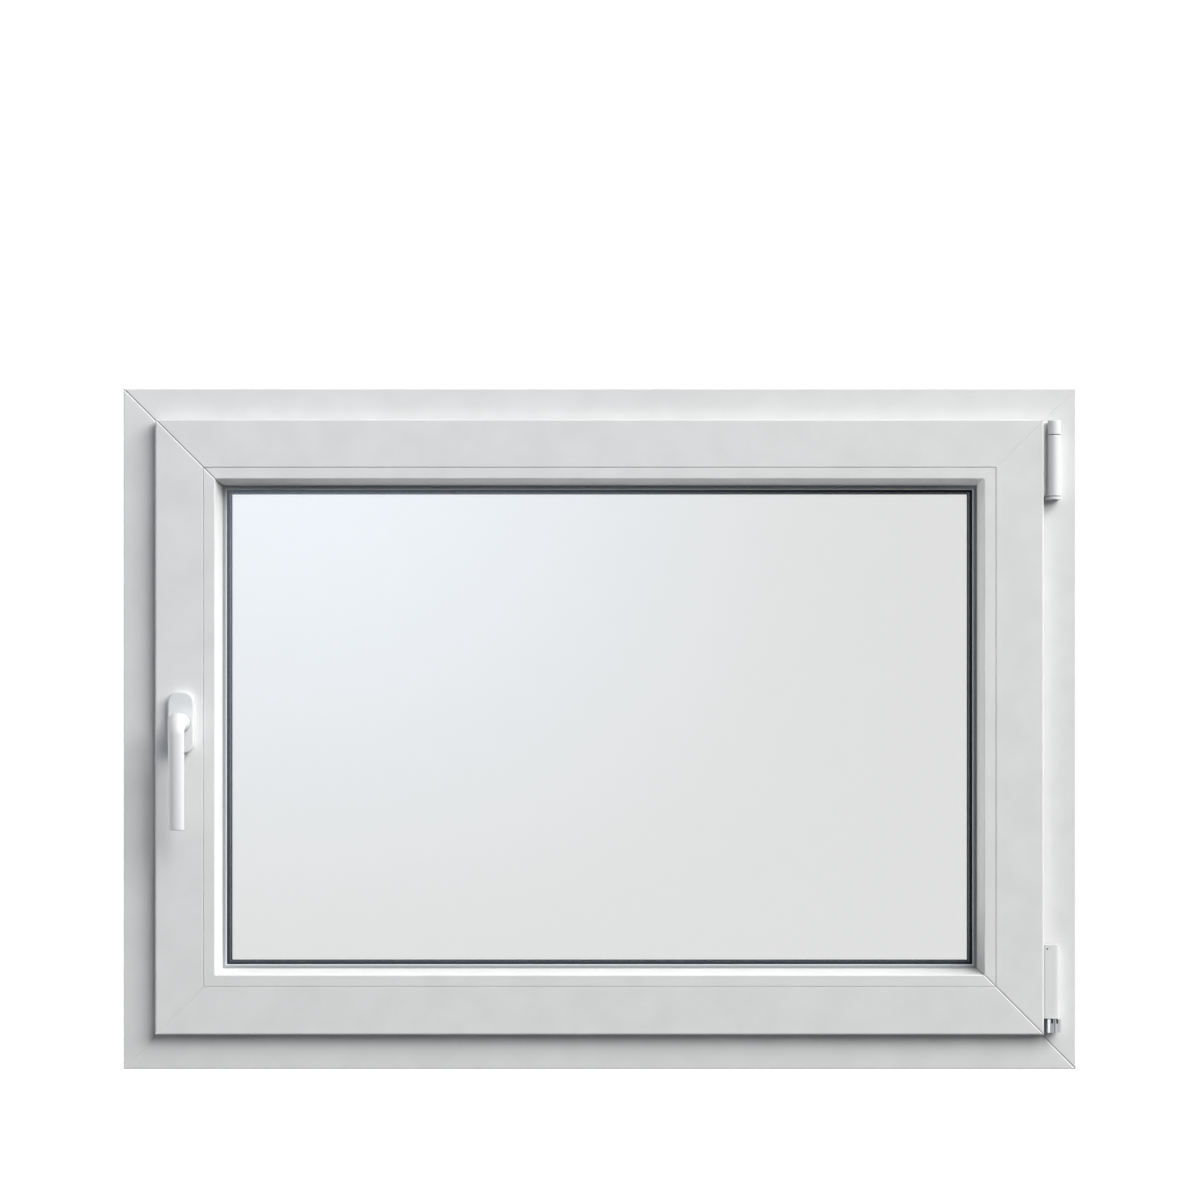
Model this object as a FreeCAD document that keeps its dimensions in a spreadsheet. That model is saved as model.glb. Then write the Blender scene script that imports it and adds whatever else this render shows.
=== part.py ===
import FreeCAD, Part
import math
import os
import re

import Sketcher

# A PVC-U tilt and turn window: a mitred outer frame, a mitred sash with clip-in beads and a double-glazed
# unit, a lever handle on the left stile, and a stay hinge and a corner hinge on the right.
# X runs to the right as seen from the room, +Y to the outside and +Z up. The origin is on the sill face,
# at mid width and mid depth. Lengths are in millimetres.
# In names, reach is the distance inwards from the frame's outer edge, and a depth is counted from the
# frame's room face towards the outside, so that what stands proud of it is negative.

sizes = {
    # whole window
    "window_width": 1050,
    "window_height": 750,
    # outer frame profile
    "frame_depth": 70,
    "frame_face": 45,
    "frame_leg_rise": 24,
    "frame_leg_thickness": 13,
    "frame_leg_fall": 3,
    "frame_edge_round": 1.6,
    "frame_nose_round": 3,
    "clip_groove_width": 8,
    "clip_groove_depth": 3.5,
    "clip_groove_place": 12,
    "frame_arris_chamfer": 0.9,
    "seam_width": 1.2,
    "seam_depth": 0.55,
    # drain slots in the exterior face of the sill
    "drain_slot_length": 28,
    "drain_slot_height": 5,
    "drain_slot_reach": 17,
    "drain_slot_depth": 14,
    "drain_slot_place": 260,
    "drain_slot_round": 2.4,
    # sash profile
    "sash_overlap": 8,
    "sash_proud": 16,
    "sash_lip_thickness": 12,
    "sash_depth": 70,
    "sash_face": 53,
    "hardware_gap": 12,
    "sash_edge_round": 2,
    "sash_nose_round": 3,
    "sash_back_round": 1,
    "sash_lift": 2,
    # glazing rebate, bead and glass
    "bead_shoulder": 9,
    "bead_groove_height": 5,
    "bead_groove_undercut": 3,
    "rebate_drop": 5,
    "bead_flat": 12.5,
    "bead_bevel_run": 5.5,
    "bead_edge_round": 1.2,
    "bead_joint_chamfer": 0.8,
    "bead_joint_break": 0.2,
    "bead_joint_gap": 0.3,
    "bead_joint_depth": 2.5,
    "flange_thickness": 14,
    "flange_rise": 20,
    "flange_fall": 3,
    "pane_thickness": 4,
    "pane_edge_gap": 6,
    "spacer_width": 16,
    "spacer_rise": 14.3,
    "inner_gasket_thickness": 3,
    "inner_gasket_rise": 14.5,
    "gasket_foot": 3,
    "gasket_round": 2.2,
    "outer_gasket_thickness": 3.5,
    "outer_gasket_rise": 18,
    # seals between sash and frame
    "lip_seal_inset": 1.5,
    "stop_seal_inset": 2,
    "stop_seal_width": 8,
    # handle
    "handle_setback": 29.5,
    "handle_height": 382,
    "rosette_width": 29,
    "rosette_height": 68,
    "rosette_thickness": 11,
    "rosette_corner": 12,
    "rosette_round": 2.2,
    "neck_radius": 10.6,
    "neck_seat_depth": 4,
    "running_clearance": 0.3,
    "lever_bend": 14,
    "lever_proud": 56,
    "lever_length": 117,
    "lever_lean": 3,
    "grip_width": 17.6,
    "grip_thickness": 13,
    "grip_tip_width": 16.8,
    "grip_tip_thickness": 11.5,
    "grip_tip_bevel": 0.8,
    "spindle_side": 7,
    "spindle_length": 38,
    "spindle_hole_radius": 6,
    # upper hinge
    "stay_barrel_gap": 4.3,
    "stay_axis_proud": 13.3,
    "stay_radius": 7.4,
    "stay_foot_gap": 5.3,
    "stay_foot_width": 12.8,
    "stay_rim_gap": 0.8,
    "stay_web_proud": 8.5,
    "stay_web_inset": 2,
    "stay_top_inset": 36.5,
    "stay_cap_length": 15.5,
    "stay_cover_length": 66.4,
    "stay_rim_length": 3,
    "stay_ring_gap": 0.8,
    "stay_ring_inset": 0.9,
    "stay_pin_radius": 3.5,
    "pin_clearance": 0.1,
    "hinge_edge_round": 0.7,
    # lower hinge
    "corner_width": 16.6,
    "corner_proud": 20,
    "corner_bottom": 56.7,
    "corner_length": 81.1,
    "corner_wall": 2,
    "corner_round_inner": 2.4,
    "corner_round_outer": 5,
    "corner_frame_gap": 1,
    "corner_arm_depth": 3,
    "corner_arm_thickness": 4.4,
    "corner_arm_inset": 14,
    "cover_ring_radius": 2.2,
    "cover_ring_depth": 0.4,
    "cover_hole_radius": 0.9,
    "cover_hole_drop": 4.6,
    "cover_hole_inset": 3.7,
    "cover_hole_depth": 1.4,
    "pivot_side_gap": 2.9,
    "pivot_axis_proud": 11,
    "pivot_radius": 8.3,
    "pivot_bottom": 41.4,
    "pivot_length": 14.6,
    "pivot_pin_radius": 3.5,
    "pivot_foot_width": 10,
    "pivot_notch_width": 1.6,
    "pivot_notch_depth": 4.2,
    "pivot_notch_spacing": 5.6,
    "pivot_notch_cut": 3,
}

# places worked out from the sizes, as formulas that the document evaluates
places = {
    "half_depth": "frame_depth / 2",
    "half_width": "window_width / 2",
    # frame
    "frame_leg_reach": "frame_face + frame_leg_rise",
    "stop_depth": "frame_depth - frame_leg_thickness",
    # sash
    "sash_reach": "frame_face - sash_overlap",
    "sash_back": "sash_depth - sash_proud",
    "lip_back": "sash_lip_thickness - sash_proud",
    "sash_body_reach": "frame_face + hardware_gap",
    "bead_reach": "sash_reach + sash_face",
    "groove_top": "bead_shoulder - sash_proud",
    "groove_base": "groove_top + bead_groove_height",
    "groove_reach": "bead_reach - bead_groove_undercut",
    "rebate_reach": "bead_reach + rebate_drop",
    "flange_front": "sash_back - flange_thickness",
    "flange_reach": "rebate_reach + flange_rise",
    # bead and glass
    "outer_pane_back": "flange_front - outer_gasket_thickness",
    "outer_pane_front": "outer_pane_back - pane_thickness",
    "spacer_front": "outer_pane_front - spacer_width",
    "inner_pane_front": "spacer_front - pane_thickness",
    "bead_back": "inner_pane_front - inner_gasket_thickness",
    "bead_joint_reach": "bead_reach + bead_joint_gap",
    "bead_joint_back": "bead_joint_depth - sash_proud",
    "bead_arris_reach": "bead_reach + bead_flat",
    "bead_tip_reach": "bead_arris_reach + bead_bevel_run",
    "pane_reach": "rebate_reach + pane_edge_gap",
    "spacer_reach": "pane_reach + spacer_rise",
    "gasket_outer_reach": "rebate_reach + gasket_foot",
    "inner_gasket_reach": "gasket_outer_reach + inner_gasket_rise",
    "outer_gasket_reach": "gasket_outer_reach + outer_gasket_rise",
    # handle
    "handle_x": "sash_reach + handle_setback - half_width",
    "sash_front_y": "-sash_proud - half_depth",
    "rosette_front_y": "sash_front_y - rosette_thickness",
    "neck_end_y": "rosette_front_y + neck_seat_depth - running_clearance",
    "grip_axis_y": "sash_front_y - lever_proud + grip_thickness / 2",
    "bend_start_y": "grip_axis_y + lever_bend",
    # hinges
    "stay_x": "half_width - sash_reach + stay_barrel_gap + stay_radius",
    "stay_foot_left_x": "half_width - sash_reach + stay_foot_gap",
    "stay_foot_right_x": "stay_foot_left_x + stay_foot_width",
    "stay_rim_left_x": "half_width - sash_reach + stay_rim_gap",
    "stay_y": "-stay_axis_proud - half_depth",
    "stay_top": "window_height - stay_top_inset",
    "stay_cap_bottom": "stay_top - stay_cap_length",
    "stay_cover_top": "stay_cap_bottom - stay_ring_gap",
    "stay_cover_bottom": "stay_cover_top - stay_cover_length",
    "stay_rim_top": "stay_cover_bottom - stay_ring_gap",
    "stay_rim_bottom": "stay_rim_top - stay_rim_length",
    "corner_left_x": "half_width - sash_reach",
    "corner_right_x": "corner_left_x + corner_width",
    "corner_front_y": "-corner_proud - half_depth",
    "corner_back_y": "-corner_frame_gap - half_depth",
    "corner_top": "corner_bottom + corner_length",
    "arm_front_y": "lip_back - corner_arm_depth - half_depth",
    "arm_back_y": "arm_front_y + corner_arm_thickness",
    "pivot_x": "half_width - sash_reach + pivot_side_gap + pivot_radius",
    "pivot_y": "-pivot_axis_proud - half_depth",
    "pivot_top": "pivot_bottom + pivot_length",
}

# how far an edge may lie from the place it is looked for at
tolerance = 0.01

document = FreeCAD.newDocument("tilt_and_turn_window")
sheet = document.addObject("Spreadsheet::Sheet", "sizes")
for row, (alias, number) in enumerate(sizes.items(), start=1):
    sheet.set(f"A{row}", alias)
    sheet.set(f"B{row}", str(number))
    sheet.setAlias(f"B{row}", alias)
document.recompute()


def formula(text):
    """Write out a formula so that each name in it is a cell of the sheet."""

    def write_out(match):
        word = match.group(0)
        if word in ("sqrt", "atan"):
            return word
        if word in places:
            return f"({formula(places[word])})"
        return f"sizes.{word}"

    return re.sub(r"[a-z][a-z_]*", write_out, str(text))


def measure(text):
    return float(sheet.evalExpression(formula(text)))


def bind(thing, setting, text):
    thing.setExpression(setting, formula(text))


def new_body(label):
    body = document.addObject("PartDesign::Body", label)
    body.Label = label
    return body


def new_sketch(body, name, role, offset="0"):
    """Attach a sketch to one of the body's own origin planes, moved along the plane's normal."""
    plane = next(item for item in body.Origin.OriginFeatures if item.Role == role)
    sketch = body.newObject("Sketcher::SketchObject", name)
    sketch.AttachmentSupport = [(plane, "")]
    sketch.MapMode = "FlatFace"
    bind(sketch, "AttachmentOffset.Base.z", offset)
    return sketch


def fix_point(sketch, curve, end, across, up):
    for kind, text in (("DistanceX", across), ("DistanceY", up)):
        number = sketch.addConstraint(Sketcher.Constraint(kind, -1, 1, curve, end, measure(text)))
        bind(sketch, f"Constraints[{number}]", text)


def draw_outline(sketch, points):
    """Draw a closed outline of straight lines through points given as pairs of formulas."""
    corners = [FreeCAD.Vector(measure(across), measure(up), 0) for across, up in points]
    first = sketch.GeometryCount
    for start, end in zip(corners, corners[1:] + corners[:1]):
        sketch.addGeometry(Part.LineSegment(start, end), False)
    for index, (across, up) in enumerate(points):
        following = first + (index + 1) % len(points)
        sketch.addConstraint(Sketcher.Constraint("Coincident", first + index, 2, following, 1))
        fix_point(sketch, first + index, 1, across, up)


def draw_rectangle(sketch, left, right, low, high):
    draw_outline(sketch, [(left, low), (right, low), (right, high), (left, high)])


def draw_circle(sketch, across, up, radius):
    centre = FreeCAD.Vector(measure(across), measure(up), 0)
    ring = sketch.addGeometry(Part.Circle(centre, FreeCAD.Vector(0, 0, 1), measure(radius)), False)
    fix_point(sketch, ring, 3, across, up)
    number = sketch.addConstraint(Sketcher.Constraint("Radius", ring, measure(radius)))
    bind(sketch, f"Constraints[{number}]", radius)


def add_pad(body, name, sketch, length, symmetric=False, backwards=False):
    pad = body.newObject("PartDesign::Pad", name)
    pad.Profile = sketch
    pad.SideType = "Symmetric" if symmetric else "One side"
    pad.Reversed = backwards
    bind(pad, "Length", length)
    document.recompute()
    return pad


def add_pocket(body, name, sketch, length, symmetric=False, backwards=False):
    """Cut a sketch out of the body and make sure that the cut meets the solid."""
    before = body.Shape.Volume
    pocket = body.newObject("PartDesign::Pocket", name)
    pocket.Profile = sketch
    pocket.SideType = "Symmetric" if symmetric else "One side"
    pocket.Reversed = backwards
    bind(pocket, "Length", length)
    document.recompute()
    if body.Shape.Volume >= before:
        raise ValueError(f"{name} of {body.Label} cuts nothing")
    return pocket


def edges_through(shape, axis, spots):
    """Name the straight edges along an axis that pass through points of the plane across it."""
    others = [index for index in range(3) if index != axis]
    wanted = [(measure(first), measure(second)) for first, second in spots]
    names = []
    for number, edge in enumerate(shape.Edges, start=1):
        ends = [vertex.Point for vertex in edge.Vertexes]
        for spot in wanted:
            if len(ends) == 2 and all(
                abs(end[others[0]] - spot[0]) < tolerance and abs(end[others[1]] - spot[1]) < tolerance
                for end in ends
            ):
                names.append(f"Edge{number}")
    return names


def edges_in_plane(shape, axis, place, is_wanted=None):
    """Name the edges that lie in a plane across an axis, or those of them that a test picks."""
    level = measure(place)
    names = []
    for number, edge in enumerate(shape.Edges, start=1):
        box = edge.BoundBox
        low = (box.XMin, box.YMin, box.ZMin)[axis]
        high = (box.XMax, box.YMax, box.ZMax)[axis]
        lies_there = abs(low - level) < tolerance and abs(high - level) < tolerance
        if lies_there and (is_wanted is None or is_wanted(edge)):
            names.append(f"Edge{number}")
    return names


def add_fillet(body, name, names, radius):
    base = body.Tip
    fillet = body.newObject("PartDesign::Fillet", name)
    fillet.Base = (base, names)
    bind(fillet, "Radius", radius)
    document.recompute()


def add_chamfer(body, name, names, size):
    base = body.Tip
    chamfer = body.newObject("PartDesign::Chamfer", name)
    chamfer.Base = (base, names)
    bind(chamfer, "Size", size)
    document.recompute()


def place_on_side(body, side, lift):
    """Turn a member from the sill's place, where it is drawn, to its own side, and raise it."""
    angle, base = {
        "bottom": (0, ("0", "0")),
        "left": (90, ("-half_width", "window_height / 2")),
        "right": (-90, ("half_width", "window_height / 2")),
        "top": (180, ("0", "window_height")),
    }[side]
    body.Placement = FreeCAD.Placement(
        FreeCAD.Vector(), FreeCAD.Rotation(FreeCAD.Vector(0, 1, 0), angle)
    )
    bind(body, "Placement.Base.x", base[0])
    bind(body, "Placement.Base.z", f"{base[1]} + {lift}")


def draw_corners(sketch, span, reach, setback):
    """Draw the two triangles outside the mitres of a member, moved in along it by a setback."""
    for sign in ("", "-"):
        outer_corner = (f"{sign}({span} / 2 + 2)", f"-2 - {setback}")
        inner_corner = (f"{sign}({span} / 2 + 2)", f"{reach} + 2")
        far_corner = (f"{sign}({span} / 2 - {reach} - 2 - {setback})", f"{reach} + 2")
        draw_outline(sketch, [outer_corner, inner_corner, far_corner])


def make_member(label, side, profile, rounds, reach, face_depth, lift):
    """A straight member with mitred ends: its profile padded along X, rounded, cut and seamed."""
    span = "window_width" if side in ("bottom", "top") else "window_height"
    body = new_body(label)
    outline = new_sketch(body, f"{label}_profile", "YZ_Plane")
    draw_outline(outline, [(f"{depth} - half_depth", place) for depth, place in profile])
    add_pad(body, f"{label}_bar", outline, span, symmetric=True)
    for number, (kind, size, spots) in enumerate(rounds, start=1):
        names = edges_through(body.Shape, 0, [(f"{depth} - half_depth", place) for depth, place in spots])
        add_edge = add_fillet if kind == "round" else add_chamfer
        add_edge(body, f"{label}_edge_{number}", names, size)
    mitre = new_sketch(body, f"{label}_mitres", "XZ_Plane")
    draw_corners(mitre, span, reach, "0")
    add_pocket(body, f"{label}_mitre_cut", mitre, "frame_depth * 3", symmetric=True)
    seam = new_sketch(body, f"{label}_seams", "XZ_Plane", f"half_depth - ({face_depth})")
    draw_corners(seam, span, reach, "seam_width * sqrt(2)")
    groove = add_pocket(body, f"{label}_seam_cut", seam, "seam_depth")
    bind(groove, "TaperAngle", "-atan(seam_width / seam_depth)")
    document.recompute()
    place_on_side(body, side, lift)
    return body


def make_ring(label, outer_reach, inner_reach, front, back, lift="sash_lift"):
    """A rectangular ring round the window, between two reaches and two depths."""
    body = new_body(label)
    outline = new_sketch(body, f"{label}_outline", "XZ_Plane", f"half_depth - {back}")
    for reach in (f"({outer_reach})", f"({inner_reach})"):
        draw_rectangle(
            outline,
            f"{reach} - half_width",
            f"half_width - {reach}",
            f"{reach} + {lift}",
            f"window_height - {reach} + {lift}",
        )
    add_pad(body, f"{label}_ring", outline, f"{back} - ({front})")
    return body


def make_pane(label, front):
    pane = document.addObject("Part::Box", label)
    pane.Label = label
    bind(pane, "Length", "window_width - 2 * pane_reach")
    bind(pane, "Width", "pane_thickness")
    bind(pane, "Height", "window_height - 2 * pane_reach")
    bind(pane, "Placement.Base.x", "pane_reach - half_width")
    bind(pane, "Placement.Base.y", f"{front} - half_depth")
    bind(pane, "Placement.Base.z", "pane_reach + sash_lift")
    return pane


# the outer frame, with two clip grooves in its outer face
groove_a = "clip_groove_place"
groove_b = "frame_depth - clip_groove_place - clip_groove_width"
frame_profile = [
    ("0", "0"),
    ("0", "frame_face"),
    ("stop_depth", "frame_face"),
    ("stop_depth", "frame_leg_reach"),
    ("frame_depth", "frame_leg_reach - frame_leg_fall"),
    ("frame_depth", "0"),
    (f"{groove_b} + clip_groove_width", "0"),
    (f"{groove_b} + clip_groove_width", "clip_groove_depth"),
    (groove_b, "clip_groove_depth"),
    (groove_b, "0"),
    (f"{groove_a} + clip_groove_width", "0"),
    (f"{groove_a} + clip_groove_width", "clip_groove_depth"),
    (groove_a, "clip_groove_depth"),
    (groove_a, "0"),
]
frame_rounds = [
    ("chamfer", "frame_arris_chamfer", [("0", "0")]),
    ("round", "frame_edge_round", [("frame_depth", "0"), ("stop_depth", "frame_leg_reach")]),
    ("round", "frame_nose_round", [("frame_depth", "frame_leg_reach - frame_leg_fall")]),
]

# the sash, from its lip over the frame to the flange behind the glass
sash_profile = [
    ("-sash_proud", "sash_reach"),
    ("-sash_proud", "bead_reach"),
    ("groove_top", "bead_reach"),
    ("groove_top", "groove_reach"),
    ("groove_base", "groove_reach"),
    ("groove_base", "rebate_reach"),
    ("flange_front", "rebate_reach"),
    ("flange_front", "flange_reach"),
    ("sash_back", "flange_reach - flange_fall"),
    ("sash_back", "sash_body_reach"),
    ("lip_back", "sash_body_reach"),
    ("lip_back", "sash_reach"),
]
sash_rounds = [
    ("round", "sash_edge_round", [("-sash_proud", "sash_reach")]),
    ("round", "sash_back_round", [("lip_back", "sash_reach"), ("flange_front", "flange_reach")]),
    ("round", "sash_nose_round", [("sash_back", "flange_reach - flange_fall")]),
    ("chamfer", "bead_joint_chamfer", [("-sash_proud", "bead_reach")]),
]

# the bead: a flat level with the sash beyond a narrow gap, a bevel down to the glass and a foot in the
# sash's groove
bead_profile = [
    ("-sash_proud", "bead_joint_reach"),
    ("-sash_proud", "bead_arris_reach"),
    ("bead_back", "bead_tip_reach"),
    ("bead_back", "rebate_reach"),
    ("groove_base", "rebate_reach"),
    ("groove_base", "groove_reach"),
    ("groove_top", "groove_reach"),
    ("groove_top", "bead_reach"),
    ("bead_joint_back", "bead_reach"),
    ("bead_joint_back", "bead_joint_reach"),
]
bead_rounds = [
    ("round", "bead_edge_round", [("-sash_proud", "bead_arris_reach")]),
    ("chamfer", "bead_joint_break", [("-sash_proud", "bead_joint_reach")]),
]

parts = []
for side, frame_name, sash_name in (
    ("bottom", "frame_sill", "sash_bottom_rail"),
    ("top", "frame_head", "sash_top_rail"),
    ("left", "frame_left_jamb", "sash_lock_stile"),
    ("right", "frame_right_jamb", "sash_hinge_stile"),
):
    for label, profile, rounds, reach, face_depth, lift in (
        (frame_name, frame_profile, frame_rounds, "frame_leg_reach", "0", "0"),
        (sash_name, sash_profile, sash_rounds, "flange_reach", "-sash_proud", "sash_lift"),
        (f"bead_{side}", bead_profile, bead_rounds, "bead_tip_reach", "-sash_proud", "sash_lift"),
    ):
        parts.append(make_member(label, side, profile, rounds, reach, face_depth, lift))
by_label = {part.Label: part for part in parts}

# two drain slots through the exterior face of the sill
sill = by_label["frame_sill"]
slots = new_sketch(sill, "drain_slots", "XZ_Plane", "-half_depth")
for middle in ("-drain_slot_place", "drain_slot_place"):
    draw_rectangle(
        slots,
        f"{middle} - drain_slot_length / 2",
        f"{middle} + drain_slot_length / 2",
        "drain_slot_reach",
        "drain_slot_reach + drain_slot_height",
    )
add_pocket(sill, "drain_slot_cut", slots, "drain_slot_depth", backwards=True)
slot_spots = [
    (f"{sign}drain_slot_place {end} drain_slot_length / 2", level)
    for sign in ("", "-")
    for end in "+-"
    for level in ("drain_slot_reach", "drain_slot_reach + drain_slot_height")
]
add_fillet(sill, "drain_slot_ends", edges_through(sill.Shape, 1, slot_spots), "drain_slot_round")

# the hole in the left stile that the handle's spindle goes through; in the stile's own frame,
# drawn as a sill, X counts down from mid height and Z is the reach
stile = by_label["sash_lock_stile"]
hole = new_sketch(stile, "spindle_hole", "XZ_Plane", "-sash_front_y")
draw_circle(
    hole,
    "window_height / 2 + sash_lift - handle_height",
    "sash_reach + handle_setback",
    "spindle_hole_radius",
)
add_pocket(stile, "spindle_hole_cut", hole, "spindle_length")

# seals, gaskets and the sealed glass unit
parts.append(
    make_ring("sash_seal", "sash_reach + lip_seal_inset", "frame_face - sash_lift", "lip_back", "0")
)
seal_reach = "sash_body_reach + stop_seal_inset"
frame_seal = make_ring(
    "frame_seal", seal_reach, f"{seal_reach} + stop_seal_width", "sash_back", "stop_depth", lift="0"
)
parts.append(frame_seal)
inner_gasket = make_ring(
    "glazing_gasket_inner", "gasket_outer_reach", "inner_gasket_reach", "bead_back", "inner_pane_front"
)
outer_gasket = make_ring(
    "glazing_gasket_outer", "gasket_outer_reach", "outer_gasket_reach", "outer_pane_back", "flange_front"
)
for gasket, level, lip_reach in (
    (inner_gasket, "bead_back", "inner_gasket_reach"),
    (outer_gasket, "flange_front", "outer_gasket_reach"),
):
    limit = measure(f"half_width - {lip_reach}") + tolerance

    def is_on_lip(edge):
        return edge.BoundBox.XMin > -limit and edge.BoundBox.XMax < limit

    lip = edges_in_plane(gasket.Shape, 1, f"{level} - half_depth", is_on_lip)
    add_fillet(gasket, f"{gasket.Label}_lip", lip, "gasket_round")
parts += [inner_gasket, outer_gasket]
parts.append(make_ring("spacer_bar", "pane_reach", "spacer_reach", "spacer_front", "outer_pane_front"))
parts.append(make_pane("inner_pane", "inner_pane_front"))
parts.append(make_pane("outer_pane", "outer_pane_front"))

# the handle's rosette: a rounded plate with a seat for the neck and a hole for the spindle
rosette = new_body("handle_rosette")
plate = new_sketch(rosette, "rosette_outline", "XZ_Plane", "-sash_front_y")
draw_rectangle(
    plate,
    "handle_x - rosette_width / 2",
    "handle_x + rosette_width / 2",
    "handle_height - rosette_height / 2",
    "handle_height + rosette_height / 2",
)
add_pad(rosette, "rosette_plate", plate, "rosette_thickness")
corner_spots = [
    (f"handle_x {side} rosette_width / 2", f"handle_height {end} rosette_height / 2")
    for side in "+-"
    for end in "+-"
]
add_fillet(rosette, "rosette_corners", edges_through(rosette.Shape, 1, corner_spots), "rosette_corner")
rim = edges_in_plane(rosette.Shape, 1, "rosette_front_y")
add_fillet(rosette, "rosette_rim", rim, "rosette_round")
seat = new_sketch(rosette, "neck_seat", "XZ_Plane", "-rosette_front_y")
draw_circle(seat, "handle_x", "handle_height", "neck_radius + running_clearance")
add_pocket(rosette, "neck_seat_cut", seat, "neck_seat_depth")
passage = new_sketch(rosette, "spindle_passage", "XZ_Plane", "-rosette_front_y")
draw_circle(passage, "handle_x", "handle_height", "spindle_hole_radius")
add_pocket(rosette, "spindle_passage_cut", passage, "rosette_thickness")
parts.append(rosette)


def add_lever_ring(name, half_across, half_through, depth, rise, angle):
    """An oval across the lever's line, at a depth and a rise from the handle's axis."""
    ring = document.addObject("Part::Ellipse", name)
    bind(ring, "MajorRadius", half_across)
    bind(ring, "MinorRadius", half_through)
    ring.Placement = FreeCAD.Placement(
        FreeCAD.Vector(), FreeCAD.Rotation(FreeCAD.Vector(1, 0, 0), 90 + angle)
    )
    bind(ring, "Placement.Base.x", "handle_x")
    bind(ring, "Placement.Base.y", depth)
    bind(ring, "Placement.Base.z", f"handle_height + ({rise})")
    return ring


def join_rings(name, rings):
    skin = document.addObject("Part::Loft", name)
    skin.Sections = rings
    skin.Solid = True
    document.recompute()
    return skin


# the lever: a round neck, a bend in which the round becomes an oval, and a grip that leans to a flat tip
neck = document.addObject("Part::Cylinder", "lever_neck")
neck.Placement = FreeCAD.Placement(FreeCAD.Vector(), FreeCAD.Rotation(FreeCAD.Vector(1, 0, 0), 90))
bind(neck, "Radius", "neck_radius")
bind(neck, "Height", "neck_end_y - bend_start_y")
bind(neck, "Placement.Base.x", "handle_x")
bind(neck, "Placement.Base.y", "neck_end_y")
bind(neck, "Placement.Base.z", "handle_height")

bend_steps = 6
bend_rings = []
for step in range(bend_steps + 1):
    angle = 90 * step / bend_steps
    blend = (1 - math.cos(math.pi * step / bend_steps)) / 2
    bend_rings.append(
        add_lever_ring(
            f"bend_ring_{step}",
            f"neck_radius + (grip_width / 2 - neck_radius) * {blend}",
            f"neck_radius + (grip_thickness / 2 - neck_radius) * {blend}",
            f"bend_start_y - lever_bend * {math.sin(math.radians(angle))}",
            f"-lever_bend * {1 - math.cos(math.radians(angle))}",
            angle,
        )
    )
bend = join_rings("lever_bend_skin", bend_rings)

grip_steps = 4
grip_rings = []
for step in range(grip_steps + 1):
    share = step / grip_steps
    grip_rings.append(
        add_lever_ring(
            f"grip_ring_{step}",
            f"(grip_width + (grip_tip_width - grip_width) * {share}) / 2",
            f"(grip_thickness + (grip_tip_thickness - grip_thickness) * {share}) / 2",
            f"grip_axis_y + lever_lean * {share * share}",
            f"-lever_bend - (lever_length - lever_bend) * {share}",
            90,
        )
    )
grip_skin = join_rings("lever_grip_skin", grip_rings)
tip_level = measure("handle_height - lever_length")
tip_edges = [
    (number, measure("grip_tip_bevel"), measure("grip_tip_bevel"))
    for number, edge in enumerate(grip_skin.Shape.Edges, start=1)
    if abs(edge.BoundBox.ZMax - tip_level) < tolerance
]
grip = document.addObject("Part::Chamfer", "lever_grip")
grip.Base = grip_skin
grip.Edges = tip_edges
lever = document.addObject("Part::MultiFuse", "handle_lever")
lever.Label = "handle_lever"
lever.Shapes = [neck, bend, grip]
parts.append(lever)

spindle = document.addObject("Part::Box", "handle_spindle")
spindle.Label = "handle_spindle"
bind(spindle, "Length", "spindle_side")
bind(spindle, "Width", "spindle_length")
bind(spindle, "Height", "spindle_side")
bind(spindle, "Placement.Base.x", "handle_x - spindle_side / 2")
bind(spindle, "Placement.Base.y", "neck_end_y")
bind(spindle, "Placement.Base.z", "handle_height - spindle_side / 2")
parts.append(spindle)


def draw_hinge_section(sketch, left_foot_x):
    """The stay hinge's section: a round front that runs back along two flanks to a foot on the frame."""
    centre = FreeCAD.Vector(measure("stay_x"), measure("stay_y"), 0)
    radius = measure("stay_radius")
    feet = [(left_foot_x, "-half_depth"), ("stay_foot_right_x", "-half_depth")]
    left_foot, right_foot = (FreeCAD.Vector(measure(across), measure(up), 0) for across, up in feet)
    tangents = []
    for foot, turn in ((left_foot, 1), (right_foot, -1)):
        towards = foot - centre
        swing = turn * math.acos(radius / towards.Length)
        angle = math.atan2(towards.y, towards.x) + swing
        tangents.append((angle, centre + FreeCAD.Vector(math.cos(angle), math.sin(angle), 0) * radius))
    (left_angle, left_point), (right_angle, right_point) = tangents
    circle = Part.Circle(centre, FreeCAD.Vector(0, 0, 1), radius)
    front = sketch.addGeometry(Part.ArcOfCircle(circle, left_angle, right_angle + 2 * math.pi), False)
    right_flank = sketch.addGeometry(Part.LineSegment(right_point, right_foot), False)
    foot_line = sketch.addGeometry(Part.LineSegment(right_foot, left_foot), False)
    left_flank = sketch.addGeometry(Part.LineSegment(left_foot, left_point), False)
    fix_point(sketch, front, 3, "stay_x", "stay_y")
    number = sketch.addConstraint(Sketcher.Constraint("Radius", front, radius))
    bind(sketch, f"Constraints[{number}]", "stay_radius")
    fix_point(sketch, foot_line, 1, *feet[1])
    fix_point(sketch, foot_line, 2, *feet[0])
    sketch.addConstraint(Sketcher.Constraint("Coincident", right_flank, 2, foot_line, 1))
    sketch.addConstraint(Sketcher.Constraint("Coincident", left_flank, 1, foot_line, 2))
    sketch.addConstraint(Sketcher.Constraint("Tangent", front, 2, right_flank, 1))
    sketch.addConstraint(Sketcher.Constraint("Tangent", left_flank, 2, front, 1))


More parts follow.
